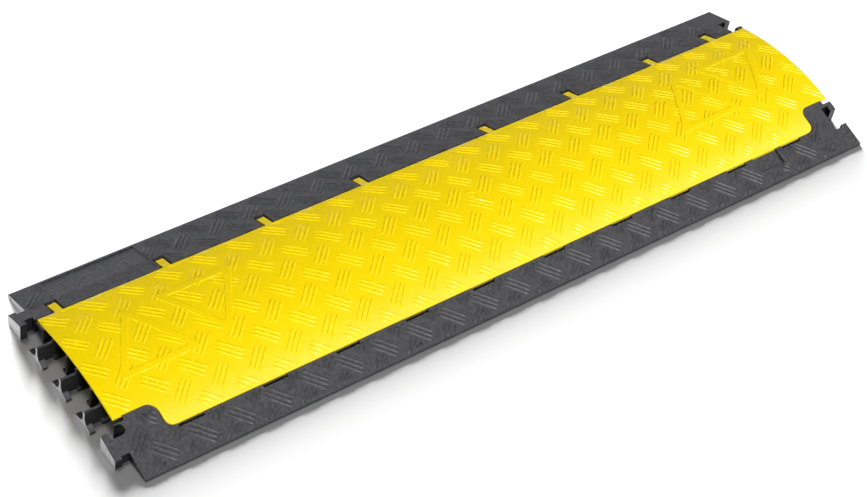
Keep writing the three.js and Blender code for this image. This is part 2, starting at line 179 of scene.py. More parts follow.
# %% [markdown]
# A mould is cut with round tools and plastic shrinks as it cools, so no edge of a moulding is knife sharp.
# Edges are picked by what they are, from the angle between their two faces and from where they lie, and
# then bevelled. The lid's near edge is the roundest, because a hand lifts it there.

# %% Rounded edges
SHARP_ANGLE = math.radians(28)


def sharp_edges(mesh, wanted):
    """Outward edges whose middle passes the test."""
    found = []
    for edge in mesh.edges:
        if not edge.is_manifold or edge.calc_face_angle_signed() < SHARP_ANGLE:
            continue
        if wanted(edge, (edge.verts[0].co + edge.verts[1].co) / 2):
            found.append(edge)
    return found


def round_edges(mesh, edges, radius, segments):
    bmesh.ops.bevel(
        mesh,
        geom=edges,
        offset=radius,
        offset_type="OFFSET",
        segments=segments,
        profile=0.5,
        affect="EDGES",
        clamp_overlap=True,
        material=-1,
    )


FACING_UP = 0.8
FAR_RAMP_WIDTH = 60
LID_NEAR_REACH = 34 * MM
LID_NEAR_RADIUS = 1.3 * MM
LID_EDGE_RADIUS = 0.6 * MM
FINGER_ROOM = 1.0 * MM
lid_far = place(0, body_width - FAR_RAMP_WIDTH).y


def faces_up(edge):
    return any(face.normal.z > FACING_UP for face in edge.link_faces)


def on_lid_near_side(edge, middle):
    return faces_up(edge) and middle.y < lid_low.y + LID_NEAR_REACH


def on_lid_ends(edge, middle):
    on_end = min(middle.x - lid_low.x, lid_high.x - middle.x) < FINGER_ROOM
    return faces_up(edge) and on_end and middle.y < lid_far - FINGER_ROOM


round_edges(lid_mesh, sharp_edges(lid_mesh, on_lid_near_side), LID_NEAR_RADIUS, segments=3)
round_edges(lid_mesh, sharp_edges(lid_mesh, on_lid_ends), LID_EDGE_RADIUS, segments=2)
print("lid faces with rounded edges", len(lid_mesh.faces))

# %% [markdown]
# The base's long edges catch the light too: the crest of the near ramp shows as a thin bright line, and so
# do the upper edges of the webs and the heads at the left end. The small edges inside the channels are too
# short to bevel cleanly and too dark to show.

# %% Rounded edges of the base
NEAR_CREST = 37
CREST_TOLERANCE = 0.1 * MM
CREST_RADIUS = 0.9 * MM
LIP_WIDTH = 2
RAMP_RADIUS = 0.5 * MM
LONG_EDGE = 6 * MM
LEFT_END_DEPTH = 40
FOOT_HEIGHT = 4
WEB_RADIUS = 0.45 * MM
WEB_EDGE = 2.5 * MM
near_crest = place(0, NEAR_CREST).y
near_lip = place(0, LIP_WIDTH).y
far_lip = place(0, body_width - LIP_WIDTH).y
left_end = place(LEFT_END_DEPTH, 0).x
foot_top = place(0, 0, FOOT_HEIGHT).z


def on_near_crest(edge, middle):
    at_crest = abs(middle.y - near_crest) < CREST_TOLERANCE
    return faces_up(edge) and at_crest and edge.calc_length() > LONG_EDGE


def on_ramp_outline(edge, middle):
    outside = middle.y < near_lip or middle.y > far_lip
    return faces_up(edge) and outside and edge.calc_length() > LONG_EDGE


def on_left_end(edge, middle):
    raised = middle.x < left_end and middle.z > foot_top
    return faces_up(edge) and raised and edge.calc_length() > WEB_EDGE


round_edges(base_mesh, sharp_edges(base_mesh, on_left_end), WEB_RADIUS, segments=2)
round_edges(base_mesh, sharp_edges(base_mesh, on_near_crest), CREST_RADIUS, segments=2)
round_edges(base_mesh, sharp_edges(base_mesh, on_ramp_outline), RAMP_RADIUS, segments=2)
print("base faces with rounded edges", len(base_mesh.faces))

# %% [markdown]
# The tread is made of long low bars in threes. One bar is a bell-shaped profile spun round once, stretched,
# and pulled apart at its middle, so it has straight sides and slender ends that run out softly into the
# plate. The profile goes on a little below the surface, where it is closed, and it crosses the surface
# between two of its points: a union is clean where faces cross and no corners touch. Each point of the
# bell is a share of the half width and a share of the height.

# %% One tread bar
BAR_LENGTH = 34 * MM
BAR_WIDTH = 3.7 * MM
LID_BAR_HEIGHT = 0.9 * MM
BAR_SPIN_STEPS = 14
STRAIGHT_SHARE = 0.4
BELL = ((0.0, 1.0), (0.36, 0.92), (0.64, 0.6), (0.85, 0.18), (1.1, -0.3), (0.0, -0.3))


def tread_bar(length, width, height):
    mesh = bmesh.new()
    rim = [mesh.verts.new((share, 0, rise * height)) for share, rise in BELL]
    profile = [mesh.edges.new(pair) for pair in zip(rim, rim[1:])]
    bmesh.ops.spin(
        mesh,
        geom=rim + profile,
        cent=(0, 0, 0),
        axis=(0, 0, 1),
        angle=math.tau,
        steps=BAR_SPIN_STEPS,
        use_merge=True,
    )
    bmesh.ops.remove_doubles(mesh, verts=mesh.verts, dist=MERGE_DISTANCE)
    straight = length / 2 * STRAIGHT_SHARE
    bmesh.ops.scale(mesh, vec=(length / 2 - straight, width / 2, 1), verts=mesh.verts)
    for vert in mesh.verts:
        if abs(vert.co.x) > MERGE_DISTANCE:
            vert.co.x += math.copysign(straight, vert.co.x)
    bmesh.ops.recalc_face_normals(mesh, faces=mesh.faces)
    return mesh


sample = tread_bar(BAR_LENGTH, BAR_WIDTH, LID_BAR_HEIGHT)
open_edges = sum(edge.is_boundary for edge in sample.edges)
print("one bar:", len(sample.faces), "faces, open edges", open_edges)
sample.free()

# %% [markdown]
# Three bars side by side are one group. A group is stored once as a mesh, and every copy starts from it.
# On the lid the bars are as high as the crown of the cover allows, and on the ramps a little higher.

# %% A group of three bars
BAR_PITCH = 5.1 * MM
RAMP_BAR_HEIGHT = 1.1 * MM


def bar_group(name, height):
    group = bmesh.new()
    for step in (-1, 0, 1):
        bar = tread_bar(BAR_LENGTH, BAR_WIDTH, height)
        bmesh.ops.translate(bar, vec=(0, step * BAR_PITCH, 0), verts=bar.verts)
        kept = bpy.data.meshes.new("bar")
        bar.to_mesh(kept)
        bar.free()
        group.from_mesh(kept)
        bpy.data.meshes.remove(kept)
    stored = bpy.data.meshes.new(name)
    group.to_mesh(stored)
    group.free()
    return stored


lid_group = bar_group("lid_bar_group", LID_BAR_HEIGHT)
ramp_group = bar_group("ramp_bar_group", RAMP_BAR_HEIGHT)
print("one group:", len(lid_group.polygons), "faces")

# %% [markdown]
# Where a group reaches over an edge, the mould has cut it off there. An area to keep out of is a
# rectangle, and a group that reaches into it is trimmed on the side where it loses least. The cut runs
# through all three bars with bisect_plane, and the open ends are closed again. A first try cuts one group
# in half.

# %% Trimming a group at an edge
def cut_off(mesh, point, outward):
    bmesh.ops.bisect_plane(
        mesh,
        geom=mesh.verts[:] + mesh.edges[:] + mesh.faces[:],
        plane_co=point,
        plane_no=outward,
        clear_outer=True,
    )
    open_edges = [edge for edge in mesh.edges if edge.is_boundary]
    bmesh.ops.holes_fill(mesh, edges=open_edges)


def box_of(mesh):
    xs = [vert.co.x for vert in mesh.verts]
    ys = [vert.co.y for vert in mesh.verts]
    return min(xs), max(xs), min(ys), max(ys)


def keep_inside(mesh, low, high):
    """Cuts off what reaches past a rectangle from corner low to corner high."""
    for axis in (0, 1):
        outward = Vector((0, 0, 0))
        outward[axis] = 1
        cut_off(mesh, high, outward)
        cut_off(mesh, low, -outward)


def keep_out(mesh, low, high):
    """Trims a group that reaches into a rectangle, along the side where it loses least."""
    if not mesh.verts:
        return
    left, right, near, far = box_of(mesh)
    losses = {
        (1, 0): (right - low.x, low),
        (-1, 0): (high.x - left, high),
        (0, 1): (far - low.y, low),
        (0, -1): (high.y - near, high),
    }
    if min(loss for loss, corner in losses.values()) <= 0:
        return
    side = min(losses, key=lambda key: losses[key][0])
    cut_off(mesh, losses[side][1], Vector((*side, 0)))


sample = bmesh.new()
sample.from_mesh(lid_group)
keep_inside(sample, Vector((-BAR_LENGTH, -BAR_LENGTH, 0)), Vector((0, BAR_LENGTH, 0)))
left, right, near, far = box_of(sample)
print("half a group is", round((right - left) / MM, 1), "mm long and has", len(sample.faces), "faces")
sample.free()

# %% [markdown]
# A tread is a list of places, each with the way that its bars run, laid out flat like a drawing. Each
# group is placed and trimmed there, and only then is the whole drawing laid over the surface, point by
# point. A group of which hardly anything is left is dropped.

# %% Laying out a tread
RISING = math.radians(45)
FALLING = math.radians(-45)
SMALLEST_LEFTOVER = 3 * MM


def area(near_left, far_right):
    """A rectangle on the cover, from two of its corners in millimetres."""
    return place(*near_left), place(*far_right)


def row(first, pitch, last, across, turn):
    """Groups at one distance across the cover, from first to last in millimetres."""
    count = int((last - first) / pitch) + 1
    return [(first + pitch * step, across, turn) for step in range(count)]


def lay_tread(group, rows, inside, outside, node):
    tread = bmesh.new()
    stored = bpy.data.meshes.new("placed_group")
    for along, across, turn in rows:
        mesh = bmesh.new()
        mesh.from_mesh(group)
        spot = Matrix.Translation(place(along, across)) @ Matrix.Rotation(turn, 4, "Z")
        bmesh.ops.transform(mesh, matrix=spot, verts=mesh.verts)
        keep_inside(mesh, *inside)
        for low, high in outside:
            keep_out(mesh, low, high)
        if mesh.verts:
            left, right, near, far = box_of(mesh)
            if min(right - left, far - near) > SMALLEST_LEFTOVER:
                mesh.to_mesh(stored)
                tread.from_mesh(stored)
        mesh.free()
    bpy.data.meshes.remove(stored)
    for vert in tread.verts:
        vert.co.z += height_on(node, vert.co)
    return tread


sample_row = row(first=0, pitch=40, last=100, across=0, turn=RISING)
print("a row from 0 to 100 mm in steps of 40 mm has", len(sample_row), "groups")

# %% [markdown]
# On the lid, rows of falling and rising groups take turns across the arch, half a step apart. The two near
# corners are cut away for the pads of the base, so no group is placed there, and the end columns are cut by
# the lid's own ends. Each set of rows says the way its bars run, how many rows it has, where the first one
# starts along and across the cover, and where its rows end.

# %% The lid's tread
LID_STEP_ALONG = 44.29
LID_STEP_ACROSS = 40.8
LID_ROWS = ((FALLING, 5, 14.3, 43.1, 990), (RISING, 4, 36.4, 63.5, 970))
LID_START = 2
LID_NEAR_EDGE = 38
LID_MARGIN = 1.2
PAD_CLEAR_ALONG = 62
PAD_CLEAR_ACROSS = 76


def over_pad(along, across):
    from_end = min(along, body_length - along)
    return from_end < PAD_CLEAR_ALONG and across < PAD_CLEAR_ACROSS


def lid_rows():
    spots = []
    for turn, count, first, across, last in LID_ROWS:
        for step in range(count):
            spots += row(first, LID_STEP_ALONG, last, across + step * LID_STEP_ACROSS, turn)
    return [spot for spot in spots if not over_pad(*spot[:2])]


lid_limits = area(
    (LID_START + LID_MARGIN, LID_NEAR_EDGE + 2 * LID_MARGIN),
    (body_length - LID_START - LID_MARGIN, body_width - FAR_RAMP_WIDTH - LID_MARGIN),
)
lid_tread = lay_tread(lid_group, lid_rows(), lid_limits, [], "hinged_lid")
print("lid tread:", len(lid_rows()), "groups,", len(lid_tread.faces), "faces")

# %% [markdown]
# The ramps carry the same bars on a pattern of their own. It stays between the outer edge and the crest.
# The finger recess, the notches of the hinge and the sunk panel cut into it, so each is a rectangle to keep
# out of. Each row says where it starts and ends along the cover, how far across it lies, and which way its
# bars run.

# %% The ramps' tread
NEAR_STEP = 44.5
NEAR_ROWS = ((32.2, 960, 19.4, FALLING), (58.6, 960, 1.8, RISING), (58.6, 930, 36, RISING))
FAR_STEP = 44.3
FAR_ROWS = ((38.6, 930, 265.3, FALLING), (14.6, 960, 250.2, RISING), (167.3, 970, 234.5, FALLING))
HINGE_PLACES = (27, 155.3, 283.6, 411.9, 592.1, 720.4, 848.7, 946)
NOTCH_REACH = 8.5
NOTCH_NEAR = 200
NOTCH_FAR = 243
RAMP_EDGE = 2.5
PAST_THE_EDGE = 10


def ramp_rows(rows, pitch):
    spots = []
    for first, last, across, turn in rows:
        spots += row(first, pitch, last, across, turn)
    return spots


def notch_area(along):
    return area((along - NOTCH_REACH, NOTCH_NEAR), (along + NOTCH_REACH, NOTCH_FAR))


recess_area = area((846, 16), (888, 40))
panel_area = area((34, 224), (148, body_width + PAST_THE_EDGE))
far_cuts = [panel_area, *map(notch_area, HINGE_PLACES)]
near_limits = area((10, RAMP_EDGE), (972, 33.5))
far_limits = area((4, 223.5), (970, body_width - RAMP_EDGE))
near_spots = ramp_rows(NEAR_ROWS, NEAR_STEP)
far_spots = ramp_rows(FAR_ROWS, FAR_STEP)
near_tread = lay_tread(ramp_group, near_spots, near_limits, [recess_area], "channel_base")
far_tread = lay_tread(ramp_group, far_spots, far_limits, far_cuts, "channel_base")
print("near ramp:", len(near_tread.faces), "faces, far ramp:", len(far_tread.faces), "faces")

# %% [markdown]
# The pads at the two near corners rise higher than the ramp between them, and they carry a few groups:
# each is given by its place along and across the cover, and the way that its bars run.

# %% The pads' tread
PAD_LEFT_GROUPS = [(14.1, 36, RISING), (14.1, 1.8, RISING), (32.2, 60.2, FALLING)]
PAD_RIGHT_GROUPS = [(948.6, 36, RISING)]
pad_left_limits = area((3, RAMP_EDGE), (44, 60))
pad_right_limits = area((930, RAMP_EDGE), (970, 60))
pad_treads = [
    lay_tread(ramp_group, PAD_LEFT_GROUPS, pad_left_limits, [], "channel_base"),
    lay_tread(ramp_group, PAD_RIGHT_GROUPS, pad_right_limits, [], "channel_base"),
]
print("pads:", [len(tread.faces) for tread in pad_treads], "faces")

# %% [markdown]
# Each end of the lid has two raised triangle outlines, one upright and one upside down. A triangle starts
# as a circle with three sides. Its corners are rounded, and its outline is extruded and shrunk towards the
# middle, which leaves a band of one width. Solidify makes the band a closed slab. Its volume comes out
# negative where its faces point inwards, and then they are turned round. It is sliced across every few
# millimetres, so that it can bend over the arch. Each triangle is given by its place along and across the
# cover and by its turn in degrees.

# %% Raised triangle outlines
TRIANGLE_SIDE = 96 * MM
TRIANGLE_BAND = 7.3 * MM
TRIANGLE_CORNER = 5 * MM
TRIANGLE_HEIGHT = 0.8 * MM
TRIANGLE_SOFTNESS = 0.6 * MM
SINK = 0.4 * MM
BEND_STEP = 4 * MM
TRIANGLES = ((78, 128.4, 0), (162, 156, 180), (837, 128.4, 0), (922.5, 156, 180))


def slice_across(mesh):
    """Cuts a flat mesh into strips across the cover, so that it can follow the arch."""
    left, right, near, far = box_of(mesh)
    count = int((far - near) / BEND_STEP)
    for step in range(1, count + 1):
        bmesh.ops.bisect_plane(
            mesh,
            geom=mesh.verts[:] + mesh.edges[:] + mesh.faces[:],
            plane_co=(0, near + step * BEND_STEP, 0),
            plane_no=(0, 1, 0),
        )


def triangle_outline(along, across, turn):
    mesh = bmesh.new()
    reach = TRIANGLE_SIDE / math.sqrt(3)
    bmesh.ops.create_circle(mesh, cap_ends=True, radius=reach, segments=3)
    bmesh.ops.bevel(
        mesh,
        geom=mesh.verts[:],
        offset=TRIANGLE_CORNER,
        segments=3,
        profile=0.5,
        affect="VERTICES",
        material=-1,
    )
    outline = mesh.edges[:]
    bmesh.ops.delete(mesh, geom=mesh.faces[:], context="FACES_ONLY")
    inward = bmesh.ops.extrude_edge_only(mesh, edges=outline)["geom"]
    inner_verts = [item for item in inward if isinstance(item, bmesh.types.BMVert)]
    side_from_middle = reach / 2
    shrink = 1 - TRIANGLE_BAND / side_from_middle
    bmesh.ops.scale(mesh, vec=(shrink, shrink, 1), verts=inner_verts)
    bmesh.ops.solidify(mesh, geom=mesh.faces[:], thickness=TRIANGLE_HEIGHT + SINK)
    bmesh.ops.recalc_face_normals(mesh, faces=mesh.faces)
    if mesh.calc_volume(signed=True) < 0:
        bmesh.ops.reverse_faces(mesh, faces=mesh.faces)
    bottom = min(vert.co.z for vert in mesh.verts)
    bmesh.ops.translate(mesh, vec=(0, 0, -SINK - bottom), verts=mesh.verts)
    top_edges = sharp_edges(mesh, lambda edge, middle: middle.z > TRIANGLE_HEIGHT / 2)
    round_edges(mesh, top_edges, TRIANGLE_SOFTNESS, segments=2)
    slice_across(mesh)
    spot = Matrix.Translation(place(along, across)) @ Matrix.Rotation(math.radians(turn), 4, "Z")
    bmesh.ops.transform(mesh, matrix=spot, verts=mesh.verts)
    for vert in mesh.verts:
        vert.co.z += height_on("hinged_lid", vert.co)
    return mesh


triangle_meshes = [triangle_outline(*triangle) for triangle in TRIANGLES]
print("triangles:", [len(mesh.faces) for mesh in triangle_meshes], "faces")

# %% [markdown]
# At the middle of the lid a small ring shows where the plastic was let into the mould. A profile with
# sloping sides is spun round, and a low dot is left at its centre.

# %% The ring at the middle of the lid
RING_PLACE = (499, 138)
RING_RADIUS = 6.4 * MM
RING_WIDTH = 2.4 * MM
RING_HEIGHT = 0.6 * MM
RING_STEPS = 32
DOT_SIZE = 3.6 * MM


def gate_ring():
    mesh = bmesh.new()
    half = RING_WIDTH / 2
    section = [(-half, -SINK), (-half / 2, RING_HEIGHT), (half / 2, RING_HEIGHT), (half, -SINK)]
    corners = [mesh.verts.new((RING_RADIUS + out, 0, up)) for out, up in section]
    edges = [mesh.edges.new(pair) for pair in zip(corners, corners[1:] + corners[:1])]
    bmesh.ops.spin(
        mesh,
        geom=corners + edges,
        cent=(0, 0, 0),
        axis=(0, 0, 1),
        angle=math.tau,
        steps=RING_STEPS,
        use_merge=True,
    )
    bmesh.ops.remove_doubles(mesh, verts=mesh.verts, dist=MERGE_DISTANCE)
    bmesh.ops.recalc_face_normals(mesh, faces=mesh.faces)
    dot = tread_bar(DOT_SIZE, DOT_SIZE, RING_HEIGHT)
    stored = bpy.data.meshes.new("dot")
    dot.to_mesh(stored)
    dot.free()
    mesh.from_mesh(stored)
    bpy.data.meshes.remove(stored)
    bmesh.ops.translate(mesh, vec=place(*RING_PLACE), verts=mesh.verts)
    for vert in mesh.verts:
        vert.co.z += height_on("hinged_lid", vert.co)
    return mesh


ring_mesh = gate_ring()
print("ring:", len(ring_mesh.faces), "faces")

# %% [markdown]
# The surface of moulded plastic is never one flat colour. Each short helper adds a node and links it, so
# that a finish reads like a recipe: a noise at the size of the real mottling changes the colour a little,
# another changes the gloss, and a fine one raises the skin through a Bump node. A Noise node counts
# features per metre, so its scale is one over the size of a feature.

# %% Node helpers
def new_material(name):
    material = bpy.data.materials.new(name)
    material.use_nodes = True
    shader = material.node_tree.nodes["Principled BSDF"]
    return material, material.node_tree, shader


def noise_scale(size):
    return 1 / size


def noise(tree, size, detail=3.0, roughness=0.5):
    """Noise whose features are about size metres across, in the object's own coordinates."""
    coordinates = tree.nodes.new("ShaderNodeTexCoord")
    texture = tree.nodes.new("ShaderNodeTexNoise")
    texture.inputs["Scale"].default_value = noise_scale(size)
    texture.inputs["Detail"].default_value = detail
    texture.inputs["Roughness"].default_value = roughness
    tree.links.new(coordinates.outputs["Object"], texture.inputs["Vector"])
    return texture.outputs["Fac"]


NOISE_LOW = 0.3
NOISE_HIGH = 0.7


def grey(level):
    return (level, level, level)


def between(tree, factor, low, high):
    """A ramp from one colour or grey to another, over the middle part of a noise's range."""
    ramp = tree.nodes.new("ShaderNodeValToRGB")
    ramp.color_ramp.elements[0].position = NOISE_LOW
    ramp.color_ramp.elements[1].position = NOISE_HIGH
    ramp.color_ramp.elements[0].color = (*low, 1)
    ramp.color_ramp.elements[1].color = (*high, 1)
    tree.links.new(factor, ramp.inputs["Fac"])
    return ramp.outputs["Color"]


def raise_skin(tree, shader, heights):
    """Adds bumps one after the other; each is (height, strength, distance)."""
    normal = None
    for height, strength, distance in heights:
        bump = tree.nodes.new("ShaderNodeBump")
        bump.inputs["Strength"].default_value = strength
        bump.inputs["Distance"].default_value = distance
        tree.links.new(height, bump.inputs["Height"])
        if normal:
            tree.links.new(normal, bump.inputs["Normal"])
        normal = bump.outputs["Normal"]
    tree.links.new(normal, shader.inputs["Normal"])


print("features of 4 mm need a noise scale of", round(noise_scale(4 * MM)))

# %% [markdown]
# The yellow is saturated and satin. Its colour and gloss drift a little from patch to patch, and its skin
# has a shallow wave and a very fine grain.

# %% Yellow plastic
DEEPER_YELLOW = (0.92, 0.68, 0.0)
LIGHTER_YELLOW = (0.97, 0.72, 0.0)
WARM_REFLECTION = (1.0, 0.97, 0.85, 1)


def yellow_plastic():
    material, tree, shader = new_material("yellow_plastic")
    colour = between(tree, noise(tree, 60 * MM), DEEPER_YELLOW, LIGHTER_YELLOW)
    tree.links.new(colour, shader.inputs["Base Color"])
    gloss = between(tree, noise(tree, 6 * MM), grey(0.22), grey(0.3))
    tree.links.new(gloss, shader.inputs["Roughness"])
    shader.inputs["Specular IOR Level"].default_value = 0.45
    shader.inputs["Specular Tint"].default_value = WARM_REFLECTION
    wave = (noise(tree, 9 * MM), 0.12, 0.3 * MM)
    grain = (noise(tree, 0.8 * MM), 0.12, 0.05 * MM)
    raise_skin(tree, shader, [wave, grain])
    return material


yellow = yellow_plastic()
print("material:", yellow.name, "with", len(yellow.node_tree.nodes), "nodes")

# %% [markdown]
# The dark base is charcoal with a mottled skin of flow marks a few millimetres across. The end faces that
# look to the left are pale with painted light, for the light that falls on them from that side. Its upright
# walls at the ends are nearly black with painted shade, hardly any mottling and a smoother gloss. Each gets
# a finish of its own.

# %% Dark plastic, its ends in painted light and its walls in painted shade
DEEPER_CHARCOAL = (0.018, 0.018, 0.021)
LIGHTER_CHARCOAL = (0.066, 0.066, 0.071)
# The pale greys are painted light on the faces that look to the left, which are lit strongly from that side.
DEEPER_PAINTED_LIGHT = (0.38, 0.38, 0.39)
LIGHTER_PAINTED_LIGHT = (0.62, 0.62, 0.63)
# Nearly black is painted shade on the upright walls, where little light reaches.
PAINTED_SHADE_BLACK = (0.009, 0.009, 0.01, 1)


def dark_plastic():
    material, tree, shader = new_material("dark_plastic")
    mottle = noise(tree, 4 * MM, detail=6.0, roughness=0.65)
    colour = between(tree, mottle, DEEPER_CHARCOAL, LIGHTER_CHARCOAL)
    tree.links.new(colour, shader.inputs["Base Color"])
    gloss = between(tree, noise(tree, 3 * MM), grey(0.42), grey(0.58))
    tree.links.new(gloss, shader.inputs["Roughness"])
    shader.inputs["Specular IOR Level"].default_value = 0.5
    grain = (noise(tree, 0.7 * MM), 0.2, 0.06 * MM)
    raise_skin(tree, shader, [(mottle, 0.5, 0.5 * MM), grain])
    return material


# Painted light: a pale grey for the end faces lit from the left.
def painted_light_end():
    material, tree, shader = new_material("painted_light_end")
    mottle = noise(tree, 3 * MM, detail=5.0)
    colour = between(tree, mottle, DEEPER_PAINTED_LIGHT, LIGHTER_PAINTED_LIGHT)
    tree.links.new(colour, shader.inputs["Base Color"])
    shader.inputs["Roughness"].default_value = 0.55
    raise_skin(tree, shader, [(mottle, 0.2, 0.3 * MM)])
    return material


# The nearly black colour is painted shade; the lower roughness gives the walls a smoother gloss.
def shaded_smooth_wall():
    material, tree, shader = new_material("shaded_smooth_wall")
    shader.inputs["Base Color"].default_value = PAINTED_SHADE_BLACK
    shader.inputs["Roughness"].default_value = 0.34
    raise_skin(tree, shader, [(noise(tree, 5 * MM), 0.15, 0.2 * MM)])
    return material


dark = dark_plastic()
pale = painted_light_end()
smooth = shaded_smooth_wall()
print("materials:", dark.name, pale.name, smooth.name)

# %% [markdown]
# Now the parts of each moulding are joined into one piece. Relief joined as loose shells would leave faces
# inside the plate, so each is united with its plate by the Boolean modifier instead, and the result is one
# closed skin. Both are cut into triangles first, which is what the solver works with. An edge that isn't
# shared by two faces would be a hole, so such edges are counted.

# %% Uniting relief with its plate
CM3_PER_M3 = 1e6


def object_from(mesh, name):
    """Turns a bmesh into an object of the scene and frees it."""
    data = bpy.data.meshes.new(name)
    mesh.to_mesh(data)
    mesh.free()
    piece = bpy.data.objects.new(name, data)
    bpy.context.scene.collection.objects.link(piece)
    return piece


def joined(parts):
    """Several meshes as one, without uniting them."""
    whole = bmesh.new()
    stored = bpy.data.meshes.new("part")
    for part in parts:
        part.to_mesh(stored)
        part.free()
        whole.from_mesh(stored)
    bpy.data.meshes.remove(stored)
    return whole


def unite(piece, relief):
    bmesh.ops.triangulate(relief, faces=relief.faces)
    helper = object_from(relief, "relief")
    modifier = piece.modifiers.new("unite", "BOOLEAN")
    modifier.operation = "UNION"
    modifier.solver = "MANIFOLD"
    modifier.object = helper
    depsgraph = bpy.context.evaluated_depsgraph_get()
    united = bpy.data.meshes.new_from_object(piece.evaluated_get(depsgraph))
    piece.modifiers.clear()
    old = piece.data
    piece.data = united
    bpy.data.meshes.remove(old)
    united.name = piece.name
    bpy.data.objects.remove(helper)


def report(piece):
    mesh = bmesh.new()
    mesh.from_mesh(piece.data)
    triangles = sum(len(face.verts) - 2 for face in mesh.faces)
    loose = sum(not edge.is_manifold for edge in mesh.edges)
    volume = round(mesh.calc_volume() * CM3_PER_M3, 1)
    print(piece.name, triangles, "triangles,", loose, "edges that aren't closed, volume", volume, "cm3")
    mesh.free()


bmesh.ops.triangulate(lid_mesh, faces=lid_mesh.faces)
lid = object_from(lid_mesh, "lid_moulding")
unite(lid, lid_tread)
unite(lid, joined([*triangle_meshes, ring_mesh]))
report(lid)

bmesh.ops.triangulate(base_mesh, faces=base_mesh.faces)
base = object_from(base_mesh, "base_moulding")
unite(base, joined([near_tread, far_tread, *pad_treads]))
report(base)

# %% [markdown]
# Shading is smooth except at true edges. Where relief meets a plate, smooth shading would also bend the
# plate's own normals, and long thin triangles would carry that as a smear. So the corners of plate faces
# are given the normal that the plate has without relief: on the base that of the flat face, and on the lid
# that of the arch, read from the slope of the CAD surface across it. A normal of no length leaves a corner
# to Blender's own smoothing.

# %% Shading
SMOOTH_BELOW = math.radians(32)
PLATE_LIKENESS = math.cos(math.radians(3))
ARCH_STEPS = 45
JUST_SHORT = 0.001
ARCH_EDGE = 2 * MM
ARCH_REACH = 5 * MM
ARCH_SECTION = 20 * MM
AUTOMATIC = (0.0, 0.0, 0.0)
arch_near = lid_low.y + ARCH_EDGE
arch_far = lid_far - ARCH_EDGE
arch_step = (arch_far - arch_near) / ARCH_STEPS


def arch_slope(across):
    near = max(across - ARCH_REACH, arch_near)
    far = min(across + ARCH_REACH, arch_far)
    heights = [height_on("hinged_lid", Vector((ARCH_SECTION, spot, 0))) for spot in (near, far)]
    return (heights[1] - heights[0]) / (far - near)


arch_slopes = [arch_slope(arch_near + step * arch_step) for step in range(ARCH_STEPS + 1)]


def arch_normal(across):
    """The normal of the smooth arch at a distance across the lid."""
    steps = min(max((across - arch_near) / arch_step, 0), ARCH_STEPS - JUST_SHORT)
    share = steps - int(steps)
    slope = arch_slopes[int(steps)] * (1 - share) + arch_slopes[int(steps) + 1] * share
    return Vector((0, -slope, 1)).normalized()


def lid_corner(face, corner):
    on_arch = arch_near < face.center.y < arch_far
    if on_arch and face.normal.dot(arch_normal(face.center.y)) > PLATE_LIKENESS:
        return arch_normal(corner.y)
    return AUTOMATIC


def base_corner(face, corner):
    found = surfaces["channel_base"].find_nearest(face.center)[1]
    return face.normal if face.normal.dot(found) > PLATE_LIKENESS else AUTOMATIC


def shade(piece, corner_normal):
    data = piece.data
    data.shade_smooth()
    data.set_sharp_from_angle(angle=SMOOTH_BELOW)
    normals = []
    for face in data.polygons:
        normals += [corner_normal(face, data.vertices[index].co) for index in face.vertices]
    data.normals_split_custom_set(normals)
    return sum(Vector(normal).length > 0 for normal in normals)


lid_corners = shade(lid, lid_corner)
base_corners = shade(base, base_corner)
print("corners with the plate's normal: lid", lid_corners, "base", base_corners)

# %% [markdown]
# Each face of a mesh says by a number which of the piece's finishes it wears. The pale one, painted light,
# goes on the faces that look straight out of the left end, and the nearly black one, painted shade with a
# smoother gloss, on the upright walls of the channels, the heads and the sockets. The outer lips of the
# ramps and all other faces keep the mottled skin.

# %% Finishes
END_FACING = 0.95
END_DEPTH = 0.5 * MM
CONNECTOR_DEPTH = 29 * MM
UPRIGHT = 0.5
CHANNELS_NEAR = 39
CHANNELS_FAR = 222
FAR_END_FACE = 238
channels_near = place(0, CHANNELS_NEAR).y
channels_far = place(0, CHANNELS_FAR).y
far_end_face = place(0, FAR_END_FACE).y


# Faces looking straight out of the left end get the painted light.
def is_painted_light_face(face):
    if face.normal.x > -END_FACING:
        return False
    at_tip = face.center.x < base_low.x + END_DEPTH
    at_far_end = abs(face.center.x - body_left) < END_DEPTH and face.center.y > far_end_face
    return at_tip or at_far_end


# Upright faces between the ramps and at the connectors get the painted shade.
def is_shaded_wall(face):
    between_ramps = channels_near < face.center.y < channels_far
    from_end = min(face.center.x - base_low.x, base_high.x - face.center.x)
    at_connectors = from_end < CONNECTOR_DEPTH and near_lip < face.center.y < far_lip
    return abs(face.normal.z) < UPRIGHT and (between_ramps or at_connectors)


def wear(piece, finishes):
    piece.data.materials.clear()
    for finish in finishes:
        piece.data.materials.append(finish)


base_finishes = [dark, pale, smooth]
wear(lid, [yellow])
wear(base, base_finishes)
painted_light_faces = [face for face in base.data.polygons if is_painted_light_face(face)]
shaded_wall_faces = [face for face in base.data.polygons if is_shaded_wall(face) and not is_painted_light_face(face)]
for face in painted_light_faces:
    face.material_index = base_finishes.index(pale)
for face in shaded_wall_faces:
    face.material_index = base_finishes.index(smooth)
print("pale faces:", len(painted_light_faces), "smooth wall faces:", len(shaded_wall_faces))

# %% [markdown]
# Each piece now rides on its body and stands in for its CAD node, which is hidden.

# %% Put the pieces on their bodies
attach(base, "base")
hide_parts("channel_base")
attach(lid, "lid")
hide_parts("hinged_lid")
print("pieces handed over:", base.name, "and", lid.name)

# %% [markdown]
# The floor is a plain white sheet, wide enough to fill the view, and it isn't part of the object. It lies a
# hair below the base, so that the two never share a plane.

# %% Floor
FLOOR_SIZE = 8
FLOOR_DROP = 0.2 * MM
PAPER_WHITE = (0.86, 0.86, 0.86, 1)


